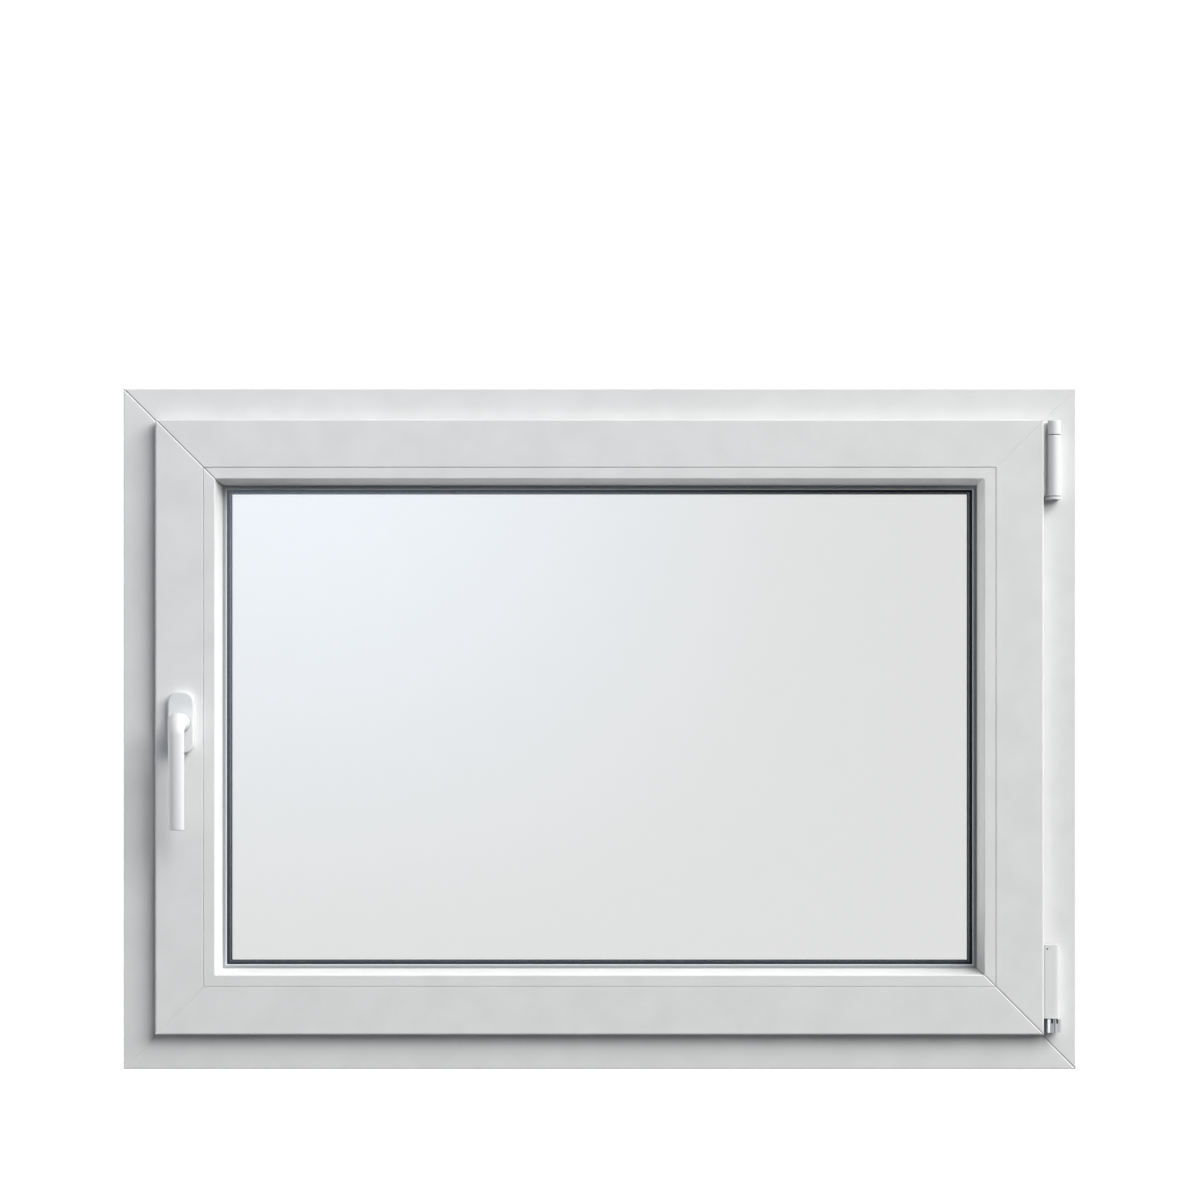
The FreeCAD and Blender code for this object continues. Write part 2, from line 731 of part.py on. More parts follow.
def rounds_front(edge):
    """Pick the arc and the flanks of a hinge section, not its foot on the frame."""
    return edge.BoundBox.YMin < measure("-half_depth") - tolerance


def make_hinge_piece(label, bottom, length, left_foot_x):
    body = new_body(label)
    section = new_sketch(body, f"{label}_section", "XY_Plane", bottom)
    draw_hinge_section(section, left_foot_x)
    add_pad(body, f"{label}_length", section, length)
    return body


def bore_pin_hole(body, bottom, length):
    hole_sketch = new_sketch(body, f"{body.Label}_bore", "XY_Plane", bottom)
    draw_circle(hole_sketch, "stay_x", "stay_y", "stay_pin_radius + pin_clearance")
    add_pocket(body, f"{body.Label}_bore_cut", hole_sketch, length, backwards=True)


# the stay hinge: a rim piece on the frame, its long cover with a web towards the sash, a short cap and the
# pin with two collars
stay_bearing = make_hinge_piece(
    "stay_bearing", "stay_rim_bottom", "stay_rim_length", "stay_rim_left_x"
)
bore_pin_hole(stay_bearing, "stay_rim_bottom", "stay_rim_length")
stay_cover = make_hinge_piece(
    "stay_bearing_cover", "stay_cover_bottom", "stay_cover_length", "stay_foot_left_x"
)
cover_rims = edges_in_plane(stay_cover.Shape, 2, "stay_cover_top", rounds_front)
add_fillet(stay_cover, "stay_cover_rims", cover_rims, "hinge_edge_round")
bore_pin_hole(stay_cover, "stay_cover_bottom", "stay_cover_length")
web = new_sketch(stay_cover, "stay_web_section", "XY_Plane", "stay_cover_bottom")
draw_rectangle(
    web, "stay_rim_left_x", "stay_foot_left_x", "-stay_web_proud - half_depth", "-half_depth"
)
add_pad(stay_cover, "stay_web", web, "stay_top - stay_web_inset - stay_cover_bottom")
stay_cap = new_body("stay_arm_cover")
cap_section = new_sketch(stay_cap, "stay_cap_section", "XY_Plane", "stay_cap_bottom")
draw_circle(cap_section, "stay_x", "stay_y", "stay_radius")
add_pad(stay_cap, "stay_cap_length", cap_section, "stay_cap_length")
for level in ("stay_top", "stay_cap_bottom"):
    add_fillet(stay_cap, f"rim_at_{level}", edges_in_plane(stay_cap.Shape, 2, level), "hinge_edge_round")
bore_pin_hole(stay_cap, "stay_cap_bottom", "stay_cap_length - stay_ring_gap * 2")

stay_pin = new_body("stay_hinge_pin")
pin_section = new_sketch(stay_pin, "stay_pin_section", "XY_Plane", "stay_rim_bottom")
draw_circle(pin_section, "stay_x", "stay_y", "stay_pin_radius")
add_pad(
    stay_pin, "stay_pin_shaft", pin_section, "stay_cap_bottom + stay_cap_length / 2 - stay_rim_bottom"
)
for name, bottom in (("upper", "stay_cover_top"), ("lower", "stay_rim_top")):
    collar = new_sketch(stay_pin, f"{name}_collar", "XY_Plane", bottom)
    draw_circle(collar, "stay_x", "stay_y", "stay_radius - stay_ring_inset")
    add_pad(stay_pin, f"{name}_collar_disc", collar, "stay_ring_gap")
parts += [stay_bearing, stay_cover, stay_cap, stay_pin]

# the corner hinge: a cast bar on the sash's edge, its folded cover, and the bare pivot below them
inner_left = "corner_left_x + corner_wall"
inner_right = "corner_right_x - corner_wall"
inner_front = "corner_front_y + corner_wall"
corner_cover = new_body("corner_hinge_cover")
cover_section = new_sketch(corner_cover, "corner_cover_section", "XY_Plane", "corner_bottom")
draw_outline(
    cover_section,
    [
        ("corner_left_x", "arm_front_y"),
        ("corner_left_x", "corner_front_y"),
        ("corner_right_x", "corner_front_y"),
        ("corner_right_x", "corner_back_y"),
        (inner_right, "corner_back_y"),
        (inner_right, "arm_front_y"),
    ],
)
add_pad(corner_cover, "corner_cover_length", cover_section, "corner_length")
for side, radius in (("left", "corner_round_inner"), ("right", "corner_round_outer")):
    arris = edges_through(corner_cover.Shape, 2, [(f"corner_{side}_x", "corner_front_y")])
    add_fillet(corner_cover, f"corner_cover_{side}", arris, radius)
hollow = new_sketch(corner_cover, "corner_cover_hollow", "XY_Plane", "corner_bottom")
draw_rectangle(hollow, inner_left, inner_right, inner_front, "arm_front_y")
add_pocket(corner_cover, "corner_cover_hollow_cut", hollow, "corner_length - corner_wall", backwards=True)
for name, radius, depth in (
    ("ring", "cover_ring_radius", "cover_ring_depth"),
    ("hole", "cover_hole_radius", "cover_hole_depth"),
):
    mark = new_sketch(corner_cover, f"corner_cover_{name}", "XZ_Plane", "-corner_front_y")
    draw_circle(mark, "corner_left_x + cover_hole_inset", "corner_top - cover_hole_drop", radius)
    add_pocket(corner_cover, f"corner_cover_{name}_cut", mark, depth)

corner_hinge = new_body("corner_hinge")
bar = new_sketch(corner_hinge, "corner_bar_section", "XY_Plane", "corner_bottom")
draw_rectangle(bar, inner_left, inner_right, inner_front, "arm_front_y")
add_pad(corner_hinge, "corner_bar", bar, "corner_length - corner_wall")
arm = new_sketch(corner_hinge, "corner_arm_section", "XY_Plane", "corner_bottom + corner_arm_inset")
draw_rectangle(arm, "half_width - sash_reach", inner_right, "arm_front_y", "arm_back_y")
add_pad(corner_hinge, "corner_arm", arm, "corner_length - corner_arm_inset * 2")

pivot_rest = new_body("pivot_rest")
barrel = new_sketch(pivot_rest, "pivot_section", "XY_Plane", "pivot_bottom")
draw_circle(barrel, "pivot_x", "pivot_y", "pivot_radius")
add_pad(pivot_rest, "pivot_barrel", barrel, "pivot_length")
foot = new_sketch(pivot_rest, "pivot_foot_section", "XY_Plane", "pivot_bottom")
draw_rectangle(
    foot, "pivot_x - pivot_foot_width / 2", "pivot_x + pivot_foot_width / 2", "pivot_y", "-half_depth"
)
add_pad(pivot_rest, "pivot_foot", foot, "pivot_length")
notches = new_sketch(pivot_rest, "pivot_notches", "XZ_Plane", "pivot_radius - pivot_y")
for sign in "+-":
    middle = f"pivot_x {sign} pivot_notch_spacing / 2"
    draw_rectangle(
        notches,
        f"{middle} - pivot_notch_width / 2",
        f"{middle} + pivot_notch_width / 2",
        "pivot_top - pivot_notch_depth",
        "pivot_top + pivot_notch_depth",
    )
add_pocket(pivot_rest, "pivot_notch_cut", notches, "pivot_notch_cut")

pivot_pin = document.addObject("Part::Cylinder", "pivot_pin")
pivot_pin.Label = "pivot_pin"
bind(pivot_pin, "Radius", "pivot_pin_radius")
bind(pivot_pin, "Height", "corner_bottom - pivot_top")
bind(pivot_pin, "Placement.Base.x", "pivot_x")
bind(pivot_pin, "Placement.Base.y", "pivot_y")
bind(pivot_pin, "Placement.Base.z", "pivot_top")
parts += [corner_cover, corner_hinge, pivot_rest, pivot_pin]

document.recompute()
for thing in document.Objects:
    if "Invalid" in thing.State or "Error" in thing.State:
        raise ValueError(f"{thing.Name} failed: {thing.State}")
for part in parts:
    if part.Shape.isNull() or not part.Shape.isValid() or len(part.Shape.Solids) != 1:
        raise ValueError(f"{part.Label} is not one valid solid")

os.makedirs("parts", exist_ok=True)
for part in parts:
    part.Shape.exportStep(f"parts/{part.Label}.step")
print(f"{len(parts)} parts written")
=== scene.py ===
import math

import bmesh
import bpy
import numpy as np
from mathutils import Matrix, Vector


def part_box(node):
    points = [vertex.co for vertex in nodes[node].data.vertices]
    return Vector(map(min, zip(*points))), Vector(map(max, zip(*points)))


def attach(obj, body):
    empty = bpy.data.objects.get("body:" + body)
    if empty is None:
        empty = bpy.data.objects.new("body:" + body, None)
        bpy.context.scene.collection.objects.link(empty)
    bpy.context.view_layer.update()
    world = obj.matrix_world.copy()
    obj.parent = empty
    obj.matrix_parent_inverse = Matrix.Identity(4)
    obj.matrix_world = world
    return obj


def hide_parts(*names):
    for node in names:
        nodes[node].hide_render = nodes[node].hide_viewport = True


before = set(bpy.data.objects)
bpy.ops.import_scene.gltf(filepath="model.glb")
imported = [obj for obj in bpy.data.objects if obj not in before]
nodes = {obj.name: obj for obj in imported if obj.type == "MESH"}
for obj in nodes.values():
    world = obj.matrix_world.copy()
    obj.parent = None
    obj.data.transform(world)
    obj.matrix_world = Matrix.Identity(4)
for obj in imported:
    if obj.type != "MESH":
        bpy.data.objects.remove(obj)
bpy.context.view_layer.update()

# a white PVC-U tilt and turn window, closed; its room face looks along -y, and x = 0 is its middle
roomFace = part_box("frame_sill")[0].y
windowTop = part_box("frame_head")[1].z
millimetre = 0.001
print("frame loaded:", len(nodes), "nodes")


def hexToLinear(text):
    # sRGB hex to linear, by the sRGB curve: a straight foot, then a power of 2.4
    channels = [int(text[i:i + 2], 16) / 255 for i in (1, 3, 5)]
    linear = [c / 12.92 if c <= 0.04045 else ((c + 0.055) / 1.055) ** 2.4 for c in channels]
    return (*linear, 1.0)


def addNode(tree, kind, settings=None, links=None):
    # one node with its settings (a socket's name or number, or a property) and what feeds it
    node = tree.nodes.new(kind)
    for name, value in (settings or {}).items():
        if isinstance(name, int) or name in node.inputs:
            node.inputs[name].default_value = value
        else:
            setattr(node, name, value)
    for name, source in (links or {}).items():
        tree.links.new(source, node.inputs[name])
    return node


def startMaterial(name):
    # an empty node tree, and the object's own coordinates
    material = bpy.data.materials.new(name)
    material.use_nodes = True
    tree = material.node_tree
    tree.nodes.clear()
    place = addNode(tree, "ShaderNodeTexCoord").outputs["Object"]
    return material, tree, place


def finishMaterial(material, tree, shader, links):
    principled = addNode(tree, "ShaderNodeBsdfPrincipled", shader, links)
    addNode(tree, "ShaderNodeOutputMaterial", None, {"Surface": principled.outputs["BSDF"]})
    return material


def addObject(name, data):
    thing = bpy.data.objects.new(name, data)
    bpy.context.scene.collection.objects.link(thing)
    return thing


def giveFinish(mesh, material):
    mesh.materials.clear()
    mesh.materials.append(material)


viewing = {
    "distance": 3.5,  # from the frame's room face
    "sensor": 36.0,  # millimetres, as the lens is
    "lens": 95.2,
    "farthest": 50,  # metres, past which nothing is drawn
    "imageSize": 1200,
    "centrePixel": (599.6, 728.8),  # where the window's middle lies in the photo
}


def buildCamera(v):
    data = bpy.data.cameras.new("camera")
    data.sensor_width = v["sensor"]
    data.lens = v["lens"]
    data.clip_end = v["farthest"]
    half = v["imageSize"] / 2
    across, down = v["centrePixel"]
    data.shift_x = (half - across) / v["imageSize"]
    data.shift_y = (down - half) / v["imageSize"]
    camera = addObject("camera", data)
    camera.location = (0, roomFace - v["distance"], windowTop / 2)
    camera.rotation_euler = (math.pi / 2, 0, 0)
    bpy.context.scene.camera = camera


buildCamera(viewing)
print("camera placed")


studio = {
    "backdrop": 1.05,  # what is seen behind and through the window
    "ambient": 0.045,  # what lights the surfaces from all round
    "ambientColour": "#D8E8FF",
    # what gloss reflects beside the camera and behind it, and where the two and the backdrop meet,
    # by a direction's y, which is -1 towards the camera and 1 away from it
    "surround": 0.55,
    "surroundBehindCamera": 0.12,
    "cameraEdge": (-0.985, -0.92),
    "backdropEdge": (-0.1, 0.4),
    # degrees to the right of the window's face and above it, metres, and watts
    "softLights": {
        "key": {
            "azimuth": 49, "elevation": 33, "distance": 14,
            "width": 16.4, "height": 10.0, "power": 3430,
        },
        "top": {
            "azimuth": 20, "elevation": 76, "distance": 8,
            "width": 5.6, "height": 5.6, "power": 50,
        },
        "fill": {
            "azimuth": -84, "elevation": 5, "distance": 8,
            "width": 3.4, "height": 4.8, "power": 150,
        },
        # from outside, through the glass, onto the bevels that the key leaves dark
        "back": {
            "azimuth": -120, "elevation": -25, "distance": 8,
            "width": 4.8, "height": 4.8, "power": 380,
        },
        # for the outside, which the front lamps leave dark
        "behind": {
            "azimuth": 165, "elevation": 15, "distance": 8,
            "width": 6.0, "height": 6.0, "power": 320, "inGloss": False,
        },
    },
    # a wide soft panel to the left behind the camera, for the glass to reflect
    "panel": {
        "y": -6.0, "x": (-3.4, 1.0), "z": (-0.6, 3.4),
        "glow": 2.5, "colour": "#DBEBFF",
        "fade": 1.9,  # how far in from its edges it is still fading
    },
    "floor": {
        "drop": 2.2, "size": 3.0, "colour": "#BEBEBC",
        "mottlePitch": 330 * millimetre, "roughness": (0.75, 0.85),
    },
}


def buildWorld(s):
    world = bpy.data.worlds.new("studio")
    bpy.context.scene.world = world
    world.use_nodes = True
    tree = world.node_tree
    tree.nodes.clear()
    # sight lines, also those through the glass, see the bright backdrop all round; gloss reflects
    # it where it lies, behind the window, and in front the surround, darkest behind the camera;
    # surfaces are lit by the dimmer ambient, a little blue
    direction = addNode(tree, "ShaderNodeTexCoord")
    parts = addNode(tree, "ShaderNodeSeparateXYZ", None, {0: direction.outputs["Generated"]})
    near, far = s["cameraEdge"]
    surround = addNode(
        tree, "ShaderNodeMapRange",
        {
            "interpolation_type": "SMOOTHSTEP", "From Min": near, "From Max": far,
            "To Min": s["surroundBehindCamera"], "To Max": s["surround"],
        },
        {"Value": parts.outputs["Y"]},
    )
    near, far = s["backdropEdge"]
    sides = addNode(
        tree, "ShaderNodeMapRange",
        {
            "interpolation_type": "SMOOTHSTEP", "From Min": near, "From Max": far,
            "To Max": s["backdrop"],
        },
        {"Value": parts.outputs["Y"], "To Min": surround.outputs[0]},
    )
    path = addNode(tree, "ShaderNodeLightPath")
    glossy = addNode(
        tree, "ShaderNodeMapRange", {"To Min": s["ambient"]},
        {"Value": path.outputs["Is Glossy Ray"], "To Max": sides.outputs[0]},
    )
    seen = addNode(
        tree, "ShaderNodeMath", {"operation": "MAXIMUM"},
        {0: path.outputs["Is Camera Ray"], 1: path.outputs["Is Transmission Ray"]},
    )
    strength = addNode(
        tree, "ShaderNodeMapRange", {"To Max": s["backdrop"]},
        {"Value": seen.outputs[0], "To Min": glossy.outputs[0]},
    )
    colour = addNode(
        tree, "ShaderNodeMix",
        {"data_type": "RGBA", 6: hexToLinear("#FFFFFF"), 7: hexToLinear(s["ambientColour"])},
        {0: path.outputs["Is Diffuse Ray"]},
    )
    background = addNode(
        tree, "ShaderNodeBackground", None,
        {"Color": colour.outputs[2], "Strength": strength.outputs[0]},
    )
    addNode(tree, "ShaderNodeOutputWorld", None, {"Surface": background.outputs[0]})


def addSoftLight(name, target, s):
    data = bpy.data.lights.new(name, "AREA")
    data.shape = "RECTANGLE"
    data.energy = s["power"]
    data.size = s["width"]
    data.size_y = s["height"]
    side, up = math.radians(s["azimuth"]), math.radians(s["elevation"])
    across = math.cos(up)
    towards = Vector((math.sin(side) * across, -math.cos(side) * across, math.sin(up)))
    light = addObject(name, data)
    light.location = target + towards * s["distance"]
    light.rotation_euler = towards.to_track_quat("Z", "Y").to_euler()
    light.visible_camera = False
    light.visible_transmission = False
    light.visible_glossy = s.get("inGloss", True)


def addStagedSheet(name, corners):
    mesh = bpy.data.meshes.new(name)
    mesh.from_pydata(corners, [], [(0, 1, 2, 3)])
    sheet = addObject(name, mesh)
    return sheet


def makePanelGlow(name, s):
    # stretched white diffuser cloth lit from behind: even, and fading away towards its edges
    material, tree, place = startMaterial(name)
    parts = addNode(tree, "ShaderNodeSeparateXYZ", None, {0: place})
    share = None
    for axis in "XZ":
        low, high = s[axis.lower()]
        for start, end in ((low, low + s["fade"]), (high, high - s["fade"])):
            # from this edge inwards the light grows to what the edges before it have left of it
            feeds = {"Value": parts.outputs[axis]}
            if share:
                feeds["To Max"] = share
            fade = addNode(
                tree, "ShaderNodeMapRange",
                {"interpolation_type": "SMOOTHSTEP", "From Min": start, "From Max": end}, feeds,
            )
            share = fade.outputs["Result"]
    glow = addNode(
        tree, "ShaderNodeEmission", {"Color": hexToLinear(s["colour"]), "Strength": s["glow"]}
    )
    clear = addNode(tree, "ShaderNodeBsdfTransparent")
    cloth = addNode(
        tree, "ShaderNodeMixShader", None, {0: share, 1: clear.outputs[0], 2: glow.outputs[0]}
    )
    addNode(tree, "ShaderNodeOutputMaterial", None, {"Surface": cloth.outputs[0]})
    return material


def buildPanel(s):
    (left, right), (low, high) = s["x"], s["z"]
    outline = (left, low), (right, low), (right, high), (left, high)
    sheet = addStagedSheet("soft_panel", [(x, s["y"], z) for x, z in outline])
    sheet.visible_diffuse = False
    giveFinish(sheet.data, makePanelGlow("lit_diffuser_cloth", s))


def buildFloor(s):
    half = s["size"] / 2
    outline = (-half, -half), (half, -half), (half, half), (-half, half)
    floor = addStagedSheet("floor", [(x, y, -s["drop"]) for x, y in outline])
    # rolled emulsion on boards: pale and matt, a little uneven in its sheen
    material, tree, place = startMaterial("matt_pale_floor")
    mottle = addNode(
        tree, "ShaderNodeTexNoise", {"Scale": 1 / s["mottlePitch"], "Detail": 3.0},
        {"Vector": place},
    )
    smooth, rough = s["roughness"]
    tone = addNode(
        tree, "ShaderNodeMapRange", {"To Min": smooth, "To Max": rough},
        {"Value": mottle.outputs[0]},
    )
    finishMaterial(
        material, tree, {"Base Color": hexToLinear(s["colour"])}, {"Roughness": tone.outputs[0]}
    )
    giveFinish(floor.data, material)


buildWorld(studio)
for name, light in studio["softLights"].items():
    addSoftLight(name, Vector((0, roomFace, windowTop / 2)), light)
buildPanel(studio["panel"])
buildFloor(studio["floor"])
settings = bpy.context.scene.view_settings
settings.view_transform = "Standard"
settings.look = "None"
print("studio built")


extrudedPvc = {
    "colour": "#E5E5E4",
    "shade": "#E0E0DF",
    "cloudPitch": 40 * millimetre,
    "cloudRange": (0.36, 0.64),  # of the noise, from all colour to all shade
    "roughness": (0.30, 0.42),
    "ior": 1.53,
    "dieLinePitch": 2.2 * millimetre,  # real ones are finer, drawn as coarse as they need to show
    "dieLineLength": 650 * millimetre,
    "dieLineDepth": 0.010 * millimetre,
    "peelPitch": 3.0 * millimetre,
    "peelDepth": 0.012 * millimetre,
    # grey of the outside weld lines, and painted shade in two of the room's grooves
    "seamAndShadeColour": "#A9ABAD",
    "seamHalfWidth": 0.75 * millimetre,
    "outsideFrom": 2 * millimetre,  # the y behind which a face belongs to the outside
}
# the height of a frame's middle, and by how much its half width is more than its half height
frameCorners = (0.375, 0.150)
sashCorners = (0.377, 0.150)


def makeExtrudedPvc(name, along, corners, look):
    # PVC-U pressed through a die: a satin white skin with faint lines along the bar and a soft,
    # slightly uneven sheen where the die cooled; at the corners the scraped welds show as thin grey
    # lines all four on the outside; in the room the grey is painted shade in the two shaded grooves
    material, tree, place = startMaterial(name)
    stretch = [1 / look["dieLinePitch"]] * 3
    stretch["xyz".index(along)] = 1 / look["dieLineLength"]
    lined = addNode(tree, "ShaderNodeMapping", {"Scale": stretch}, {"Vector": place})
    lines = addNode(
        tree, "ShaderNodeTexNoise", {"Scale": 1.0, "Detail": 2.0}, {"Vector": lined.outputs[0]}
    )
    peel = addNode(
        tree, "ShaderNodeTexNoise", {"Scale": 1 / look["peelPitch"], "Detail": 1.0},
        {"Vector": place},
    )
    cloud = addNode(
        tree, "ShaderNodeTexNoise", {"Scale": 1 / look["cloudPitch"], "Detail": 4.0},
        {"Vector": place},
    )
    low, high = look["cloudRange"]
    patch = addNode(
        tree, "ShaderNodeMapRange", {"From Min": low, "From Max": high}, {"Value": cloud.outputs[0]}
    )
    skin = addNode(
        tree, "ShaderNodeMix",
        {"data_type": "RGBA", 6: hexToLinear(look["colour"]), 7: hexToLinear(look["shade"])},
        {0: patch.outputs[0]},
    )

    # from the diagonal through a corner: across less up, less what the width is longer by
    middle, longer = corners
    centred = addNode(
        tree, "ShaderNodeMapping", {"Location": (0.0, 0.0, -middle)}, {"Vector": place}
    )
    folded = addNode(
        tree, "ShaderNodeVectorMath", {"operation": "ABSOLUTE"}, {0: centred.outputs[0]}
    )
    quarter = addNode(tree, "ShaderNodeSeparateXYZ", None, {0: folded.outputs[0]})
    slant = addNode(
        tree, "ShaderNodeMath", {"operation": "SUBTRACT"},
        {0: quarter.outputs["X"], 1: quarter.outputs["Z"]},
    )
    away = addNode(
        tree, "ShaderNodeMath", {"operation": "SUBTRACT", 1: longer}, {0: slant.outputs[0]}
    )
    reach = addNode(tree, "ShaderNodeMath", {"operation": "ABSOLUTE"}, {0: away.outputs[0]})
    near = addNode(
        tree, "ShaderNodeMath", {"operation": "LESS_THAN", 1: look["seamHalfWidth"]},
        {0: reach.outputs[0]},
    )
    # the grooves painted with shade are top left and bottom right, where across times up is
    # negative
    sides = addNode(tree, "ShaderNodeSeparateXYZ", None, {0: centred.outputs[0]})
    product = addNode(
        tree, "ShaderNodeMath", {"operation": "MULTIPLY"},
        {0: sides.outputs["X"], 1: sides.outputs["Z"]},
    )
    shadedGrooveCorners = addNode(
        tree, "ShaderNodeMath", {"operation": "LESS_THAN", 1: 0.0}, {0: product.outputs[0]}
    )
    outside = addNode(
        tree, "ShaderNodeMath", {"operation": "GREATER_THAN", 1: look["outsideFrom"]},
        {0: sides.outputs["Y"]},
    )
    weldLinesAndShadedGrooves = addNode(
        tree, "ShaderNodeMath", {"operation": "MAXIMUM"},
        {0: outside.outputs[0], 1: shadedGrooveCorners.outputs[0]},
    )
    seam = addNode(
        tree, "ShaderNodeMath", {"operation": "MULTIPLY"}, {0: near.outputs[0], 1: weldLinesAndShadedGrooves.outputs[0]}
    )
    # the grey: on the outside the weld lines, in the room painted shade in the two shaded grooves
    tint = addNode(
        tree, "ShaderNodeMix", {"data_type": "RGBA", 7: hexToLinear(look["seamAndShadeColour"])},
        {0: seam.outputs[0], 6: skin.outputs[2]},
    )

    smooth, rough = look["roughness"]
    gloss = addNode(
        tree, "ShaderNodeMapRange", {"To Min": smooth, "To Max": rough}, {"Value": cloud.outputs[0]}
    )
    peelBump = addNode(
        tree, "ShaderNodeBump", {"Strength": 1.0, "Distance": look["peelDepth"]},
        {"Height": peel.outputs[0]},
    )
    lineBump = addNode(
        tree, "ShaderNodeBump", {"Strength": 1.0, "Distance": look["dieLineDepth"]},
        {"Height": lines.outputs[0], "Normal": peelBump.outputs[0]},
    )
    return finishMaterial(
        material, tree, {"IOR": look["ior"]},
        {
            "Base Color": tint.outputs[2],
            "Roughness": gloss.outputs[0],
            "Normal": lineBump.outputs[0],
        },
    )


greySeal = {
    "colour": "#9CA0A3", "shine": 0.05, "roughness": 0.45,
    "grain": 0.6 * millimetre, "grainDepth": 0.02 * millimetre,
}
# a lip in another colour begins at the first y and is full at the second; on the glazing seal it is
# lighter, a painted highlight along its rounded edge
glazingSeal = {**greySeal, "lip": "#C4C7CA", "lipY": (-25.35 * millimetre, -25.05 * millimetre)}
blackSeal = {**greySeal, "colour": "#2B2E32", "shine": 0.0, "roughness": 0.75}
spacerBar = {
    **blackSeal, "colour": "#4C525A",
    "lip": "#40464E", "lipY": (-18.4 * millimetre, -18.0 * millimetre),
}


def makeSealRubber(name, look):
    # co-extruded TPE: matt, with a fine dry grain, and in some a lip along the glass in another
    # colour, lighter on the glazing seal as a painted highlight, darker on the spacer; the spacer's
    # rolled polymer skin looks alike, without shine
    material, tree, place = startMaterial(name)
    grain = addNode(
        tree, "ShaderNodeTexNoise", {"Scale": 1 / look["grain"], "Detail": 2.0}, {"Vector": place}
    )
    bump = addNode(
        tree, "ShaderNodeBump", {"Strength": 1.0, "Distance": look["grainDepth"]},
        {"Height": grain.outputs[0]},
    )
    shader = {
        "Base Color": hexToLinear(look["colour"]), "Roughness": look["roughness"],
        "Specular IOR Level": look["shine"],
    }
    links = {"Normal": bump.outputs[0]}
    # the lip's colour: on the glazing seal a painted highlight along its rounded edge, on the
    # spacer darker towards the glass
    if "lip" in look:
        start, full = look["lipY"]
        parts = addNode(tree, "ShaderNodeSeparateXYZ", None, {0: place})
        share = addNode(
            tree, "ShaderNodeMapRange", {"From Min": start, "From Max": full},
            {"Value": parts.outputs["Y"]},
        )
        tint = addNode(
            tree, "ShaderNodeMix",
            {"data_type": "RGBA", 6: hexToLinear(look["colour"]), 7: hexToLinear(look["lip"])},
            {0: share.outputs[0]},
        )
        links["Base Color"] = tint.outputs[2]
    return finishMaterial(material, tree, shader, links)


floatGlass = {
    "tint": (0.855, 0.8584, 0.8567),
    "lampTint": (0.95, 0.95, 0.95),
    "ior": 1.52,
    "filmPitch": 160 * millimetre,
    "filmRange": (0.35, 0.9),  # of the noise, from none of the haze to all of it
    "haze": 0.012,
}


def makeFloatGlass(name, look):
    # float glass with a clear low-emissivity coat: neutral, a little dark, almost perfectly smooth
    material, tree, place = startMaterial(name)
    film = addNode(
        tree, "ShaderNodeTexNoise", {"Scale": 1 / look["filmPitch"], "Detail": 3.0},
        {"Vector": place},
    )
    low, high = look["filmRange"]
    haze = addNode(
        tree, "ShaderNodeMapRange", {"From Min": low, "From Max": high, "To Max": look["haze"]},
        {"Value": film.outputs[0]},
    )
    glazing = addNode(
        tree, "ShaderNodeBsdfPrincipled",
        {"Base Color": (*look["tint"], 1.0), "IOR": look["ior"], "Transmission Weight": 1.0},
        {"Roughness": haze.outputs[0]},
    )
    # lamps shine through to the spacer and the outer seal
    clear = addNode(tree, "ShaderNodeBsdfTransparent", {"Color": (*look["lampTint"], 1.0)})
    path = addNode(tree, "ShaderNodeLightPath")
    both = addNode(
        tree, "ShaderNodeMixShader", None,
        {0: path.outputs["Is Shadow Ray"], 1: glazing.outputs[0], 2: clear.outputs[0]},
    )
    addNode(tree, "ShaderNodeOutputMaterial", None, {"Surface": both.outputs[0]})
    return material


powderCoat = {
    "colour": "#DFE0E1",
    "roughness": (0.27, 0.39),
    "rubPitch": 16 * millimetre,
    "peelPitch": 1.4 * millimetre,
    "peelDepth": 0.03 * millimetre,
    "ior": 1.5,
    "coat": 0.15,
    "coatRoughness": 0.2,
}


def makePowderCoat(name, look):
    # stove-baked polyester powder on cast aluminium: an even white gloss with a faint orange peel,
    # rubbed a little duller here and there
    material, tree, place = startMaterial(name)
    peel = addNode(
        tree, "ShaderNodeTexNoise", {"Scale": 1 / look["peelPitch"], "Detail": 1.5},
        {"Vector": place},
    )
    bump = addNode(
        tree, "ShaderNodeBump", {"Strength": 1.0, "Distance": look["peelDepth"]},
        {"Height": peel.outputs[0]},
    )
    rub = addNode(
        tree, "ShaderNodeTexNoise", {"Scale": 1 / look["rubPitch"], "Detail": 3.0},
        {"Vector": place},
    )
    smooth, rough = look["roughness"]
    gloss = addNode(
        tree, "ShaderNodeMapRange", {"To Min": smooth, "To Max": rough}, {"Value": rub.outputs[0]}
    )
    return finishMaterial(
        material, tree,
        {
            "Base Color": hexToLinear(look["colour"]), "IOR": look["ior"],
            "Coat Weight": look["coat"], "Coat Roughness": look["coatRoughness"],
        },
        {"Roughness": gloss.outputs[0], "Normal": bump.outputs[0]},
    )


mouldedCover = {
    "colour": "#E4E5E4",
    "roughness": 0.36,
    "grain": 0.8 * millimetre,
    "grainDepth": 0.012 * millimetre,
    # painted shade for the depth of the screw hole
    "paintedRecessShade": "#3A3D40",
    "hole": (0.4917, 0.1332),  # x and z of the corner hinge cover's hole
    "holeRadius": 0.95 * millimetre,
    "holeFloor": 0.85,  # the share of the radius that is wholly dark
}


